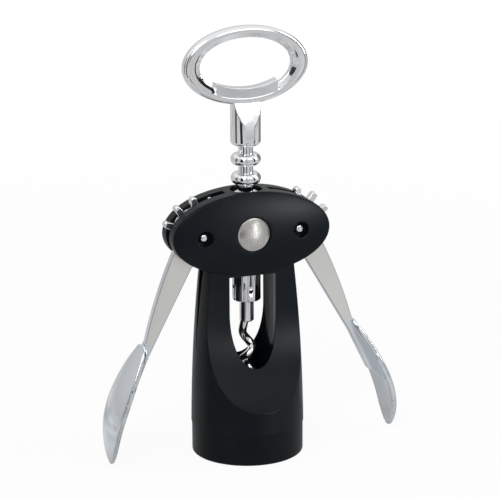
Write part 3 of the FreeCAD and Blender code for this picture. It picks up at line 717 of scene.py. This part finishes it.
class CORKSCREW_OT_buttons(PieceOperator):
    """Crowned, brushed buttons in the head"""

    bl_idname = "corkscrew.buttons"
    bl_label = "Buttons"

    def execute(self, context):
        self.make_button("front", -1)
        self.make_button("rear", 1)
        return {"FINISHED"}

    def make_button(self, name, side):
        """A short cylinder whose outer end is inset ring by ring up to its crown."""
        look = settings("button")
        low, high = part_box(f"{name}_button")
        radius = (high.x - low.x) / 2
        depth = high.y - low.y
        bpy.ops.object.select_all(action="DESELECT")
        bpy.ops.mesh.primitive_cylinder_add(
            vertices=BUTTON_SIDES, radius=radius, depth=depth, end_fill_type="NGON",
            location=(low + high) / 2, rotation=(QUARTER_TURN * -side, 0, 0),
        )
        button = bpy.context.object
        button.name = f"{name}_crowned_button"
        select_faces(button, lambda face: face.normal.z > ROUGHLY_ON)
        bpy.ops.transform.translate(value=(0, 0, -look.crown), orient_type="LOCAL")
        chamfer = depth * CHAMFER_SHARE
        chamfer_rise = chamfer * CHAMFER_RISE
        bpy.ops.mesh.inset(thickness=chamfer, depth=chamfer_rise)
        step = (radius - chamfer) / (look.rings + 1)
        level = 0.0
        for ring in range(1, look.rings + 1):
            crown = (look.crown - chamfer_rise) * (1 - (1 - ring / look.rings) ** 2)
            bpy.ops.mesh.inset(thickness=step, depth=crown - level)
            level = crown
        bpy.ops.object.mode_set(mode="OBJECT")
        bpy.ops.object.transform_apply(location=True, rotation=True, scale=True)
        smooth(button)
        finish_with(button, brushed_nickel())
        settle(button, "body", [f"{name}_button"])


class CORKSCREW_OT_screw(PieceOperator):
    """Ringed rack and the worm that turns in it"""

    bl_idname = "corkscrew.screw"
    bl_label = "Rack and Worm"

    def execute(self, context):
        rack = merged_copy("rack", "ringed_shaft")
        smooth(rack)
        finish_with(rack, bright_chrome())
        settle(rack, "ringed_rack", ["rack"])
        worm = merged_copy("worm", "worm_screw")
        smooth(worm)
        finish_with(worm, bright_chrome())
        settle(worm, "handle_and_worm", ["worm"])
        return {"FINISHED"}


class CORKSCREW_OT_handle(PieceOperator):
    """Oval handle with the opener's lip"""

    bl_idname = "corkscrew.handle"
    bl_label = "Handle"

    def execute(self, context):
        handle = merged_copy("handle", "oval_handle")
        soften(handle, "handle", settings("metal").edge)
        finish_with(handle, bright_chrome())
        settle(handle, "handle_and_worm", ["handle"])
        return {"FINISHED"}


# ------------------------------------------------------------------ studio


def studio_world():
    """A plain dome for light, white behind the part, and shaded by height where metal mirrors it."""
    world = bpy.data.worlds.new("studio")
    bpy.context.scene.world = world
    tree = cleared_tree(world)
    direction = add_node(tree, "ShaderNodeTexCoord")
    parts = add_node(tree, "ShaderNodeSeparateXYZ", {"Vector": direction.outputs["Object"]})
    height = spread(tree, parts.outputs["Z"], low=0.0, high=1.0, start=-1.0, end=1.0)
    ramp = add_node(tree, "ShaderNodeValToRGB", {"Fac": height})
    stops = ramp.color_ramp.elements
    for place, _ in DOME_SHADES[1:-1]:
        stops.new(place)
    for stop, (_, shade) in zip(stops, DOME_SHADES):
        stop.color = (shade, shade, shade, 1)
    ambient = settings("studio").ambient
    plain = add_node(tree, "ShaderNodeBackground", {"Color": WHITE, "Strength": ambient})
    mirrored = add_node(tree, "ShaderNodeBackground", {"Color": ramp.outputs["Color"], "Strength": 1.0})
    white = add_node(tree, "ShaderNodeBackground", {"Color": WHITE, "Strength": 1.0})
    path = add_node(tree, "ShaderNodeLightPath")
    unseen = mixed_shader(tree, path.outputs["Is Glossy Ray"], plain, mirrored)
    dome = mixed_shader(tree, seen_directly(tree, path), unseen, white)
    add_node(tree, "ShaderNodeOutputWorld", {"Surface": dome.outputs[0]})


def area_light(name, place, aim, size, power, receiver=None):
    """A soft rectangular lamp; with a receiver it lights that piece alone."""
    data = bpy.data.lights.new(name, "AREA")
    data.shape = "RECTANGLE"
    data.size, data.size_y = size
    data.energy = power
    lamp = bpy.data.objects.new(name, data)
    bpy.context.scene.collection.objects.link(lamp)
    lamp.location = place
    lamp.rotation_euler = (Vector(aim) - Vector(place)).to_track_quat("-Z", "Y").to_euler()
    if receiver:
        lit = bpy.data.collections.new(f"{name}_receivers")
        lit.objects.link(bpy.data.objects[receiver])
        lamp.light_linking.receiver_collection = lit


def card(name, azimuth, width, reach, top, shade, foot=0.0):
    """A standing card that only reflections see: azimuth and width in degrees, the rest in metres."""
    bpy.ops.object.select_all(action="DESELECT")
    angle = math.radians(azimuth)
    place = (reach * math.sin(angle), -reach * math.cos(angle), (foot + top) / 2)
    bpy.ops.mesh.primitive_plane_add(size=1, location=place, rotation=(QUARTER_TURN, 0, angle))
    board = bpy.context.object
    board.name = name
    board.scale = (2 * reach * math.tan(math.radians(width / 2)), top - foot, 1)
    material = bpy.data.materials.new(name)
    tree = cleared_tree(material)
    glow = add_node(tree, "ShaderNodeEmission", {"Color": (shade, shade, shade, 1), "Strength": 1.0})
    add_node(tree, "ShaderNodeOutputMaterial", {"Surface": glow.outputs[0]})
    board.data.materials.append(material)
    board.visible_camera = False
    board.visible_diffuse = False
    board.visible_shadow = False
    board.visible_transmission = False


def studio_floor():
    """A pale floor that takes the shadow and whitens further out; in reflections it is softly uneven and
    has a painted shadow close to the part.
    """
    bpy.ops.object.select_all(action="DESELECT")
    bpy.ops.mesh.primitive_plane_add(size=FLOOR_SIZE, location=(0, 0, CAD_BOX[0].z - FLOOR_GAP))
    floor = bpy.context.object
    floor.name = "floor"
    material = bpy.data.materials.new("pale_floor")
    tree = cleared_tree(material)
    look = settings("studio")
    place = add_node(tree, "ShaderNodeTexCoord").outputs["Object"]
    away = add_node(tree, "ShaderNodeVectorMath", {0: place}, operation="LENGTH").outputs["Value"]
    # Painted shadow: close to the part the floor is darker in reflections, standing in for the part's
    # shadow on it.
    shaded_near_part = spread(tree, away, low=0.85 * look.mirrored, high=look.mirrored, start=0.05, end=0.10)
    cloud = noise_at(tree, place, scale=16.0, detail=1.0)
    patches = spread(tree, cloud, low=0.7, high=1.3, start=0.3, end=0.7)
    mirrored = calculate(tree, "MULTIPLY", shaded_near_part, patches)
    sheen = add_node(tree, "ShaderNodeEmission", {"Color": WHITE, "Strength": mirrored})
    matt = add_node(tree, "ShaderNodeBsdfDiffuse", {"Color": rgba(look.floor)})
    glow = add_node(tree, "ShaderNodeEmission", {"Color": WHITE, "Strength": 1.0})
    path = add_node(tree, "ShaderNodeLightPath")
    whiteness = spread(tree, away, low=0.93, high=1.0, start=0.15, end=0.6)
    seen = calculate(tree, "MULTIPLY", seen_directly(tree, path), whiteness)
    unseen = mixed_shader(tree, path.outputs["Is Glossy Ray"], matt, sheen)
    surface = mixed_shader(tree, seen, unseen, glow)
    add_node(tree, "ShaderNodeOutputMaterial", {"Surface": surface.outputs[0]})
    floor.data.materials.append(material)


def studio_camera():
    """A long lens to the left of the front, a little above the part."""
    look = settings("studio")
    data = bpy.data.cameras.new("camera")
    data.lens = look.lens
    data.sensor_width = 36
    data.clip_start = 0.05
    camera = bpy.data.objects.new("camera", data)
    bpy.context.scene.collection.objects.link(camera)
    turn = (
        Matrix.Rotation(look.azimuth, 3, "Z")
        @ Matrix.Rotation(QUARTER_TURN - look.elevation, 3, "X")
        @ Matrix.Rotation(look.roll, 3, "Z")
    )
    back = turn @ Vector((0, 0, 1))
    camera.matrix_world = Matrix.Translation(Vector(look.target) + back * look.distance) @ turn.to_4x4()
    bpy.context.scene.camera = camera


class CORKSCREW_OT_stage(PieceOperator):
    """Floor, dome, lamps and camera"""

    bl_idname = "corkscrew.stage"
    bl_label = "Studio"

    def execute(self, context):
        context.scene.view_settings.view_transform = "Standard"
        studio_camera()
        studio_world()
        studio_floor()
        self.place_lamps()
        self.place_cards()
        return {"FINISHED"}

    def place_lamps(self):
        """Soft lamps over and beside the part, and two that light one piece each."""
        middle = (0, 0, 0.08)
        area_light("key_light", (-0.45, -0.6, 0.75), middle, size=(0.4, 0.5), power=4.0)
        area_light("side_light", (0.7, -0.25, 0.45), middle, size=(0.15, 0.6), power=2.0)
        area_light(
            "head_light", (0.387, -0.698, 0.13), middle, size=(0.08, 0.05), power=2.0,
            receiver="moulded_body",
        )
        button_face = (0, -0.0095, 0.086)
        area_light(
            "button_light", (0.096, -0.25, 0.062), button_face, size=(0.014, 0.114), power=0.026,
            receiver="front_crowned_button",
        )
        place, aim = self.upper_light(reach=0.8, height=0.30)
        area_light("upper_soft_light", place, aim, size=(0.4, 0.30), power=0.5)

    def place_cards(self):
        """Grey and black cards that give the plating its stripes."""
        card("left_front_card", azimuth=-50, width=20, reach=0.25, top=0.34, shade=0.03)
        card("left_card", azimuth=-95, width=18, reach=0.30, top=0.30, shade=0.12)
        card("right_front_card", azimuth=50, width=12, reach=0.25, top=0.34, shade=0.02)
        card("right_rear_card", azimuth=118, width=46, reach=0.32, top=0.30, shade=0.24)
        card("camera_card", azimuth=-17, width=9, reach=0.45, top=0.31, shade=0.04, foot=0.16)
        card("dark_strip", azimuth=-6, width=16, reach=0.27, top=0.055, shade=0.08)

    def upper_light(self, reach, height):
        """Place and aim of a light whose lower edge shows halfway down the handle's sloping facet."""
        spot = Vector((0, FACET_FRONT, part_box("handle")[0].z + FACET_RISE))
        view = (bpy.context.scene.camera.matrix_world.translation - spot).normalized()
        way = 2 * view.dot(FACET_NORMAL) * FACET_NORMAL - view
        side = way.cross(Vector((0, 0, 1))).normalized()
        centre = spot + way * reach + side.cross(way) * height / 2
        return centre, centre - way


class CORKSCREW_PT_panel(bpy.types.Panel):
    """The corkscrew's operators and sizes"""

    bl_idname = "CORKSCREW_PT_panel"
    bl_label = "Wing Corkscrew"
    bl_space_type = "VIEW_3D"
    bl_region_type = "UI"
    bl_category = "Corkscrew"

    def draw(self, context):
        for operator in OPERATORS:
            self.layout.operator(operator.bl_idname)
        for name in SETTINGS:
            box = self.layout.box()
            box.label(text=name.title())
            group = settings(name)
            for prop in group.bl_rna.properties:
                if prop.identifier not in {"rna_type", "name"}:
                    box.prop(group, prop.identifier)


OPERATORS = (
    CORKSCREW_OT_body,
    CORKSCREW_OT_levers,
    CORKSCREW_OT_pins,
    CORKSCREW_OT_buttons,
    CORKSCREW_OT_screw,
    CORKSCREW_OT_handle,
    CORKSCREW_OT_stage,
)


def register():
    for cls in (*SETTINGS.values(), *OPERATORS, CORKSCREW_PT_panel):
        bpy.utils.register_class(cls)
    for name, group in SETTINGS.items():
        setattr(bpy.types.Scene, f"corkscrew_{name}", PointerProperty(type=group))


def unregister():
    for name in SETTINGS:
        delattr(bpy.types.Scene, f"corkscrew_{name}")
    for cls in reversed((*SETTINGS.values(), *OPERATORS, CORKSCREW_PT_panel)):
        bpy.utils.unregister_class(cls)


def main():
    register()
    bpy.ops.corkscrew.body()
    bpy.ops.corkscrew.levers()
    bpy.ops.corkscrew.pins()
    bpy.ops.corkscrew.buttons()
    bpy.ops.corkscrew.screw()
    bpy.ops.corkscrew.handle()
    bpy.ops.corkscrew.stage()


if __name__ == "__main__":
    main()
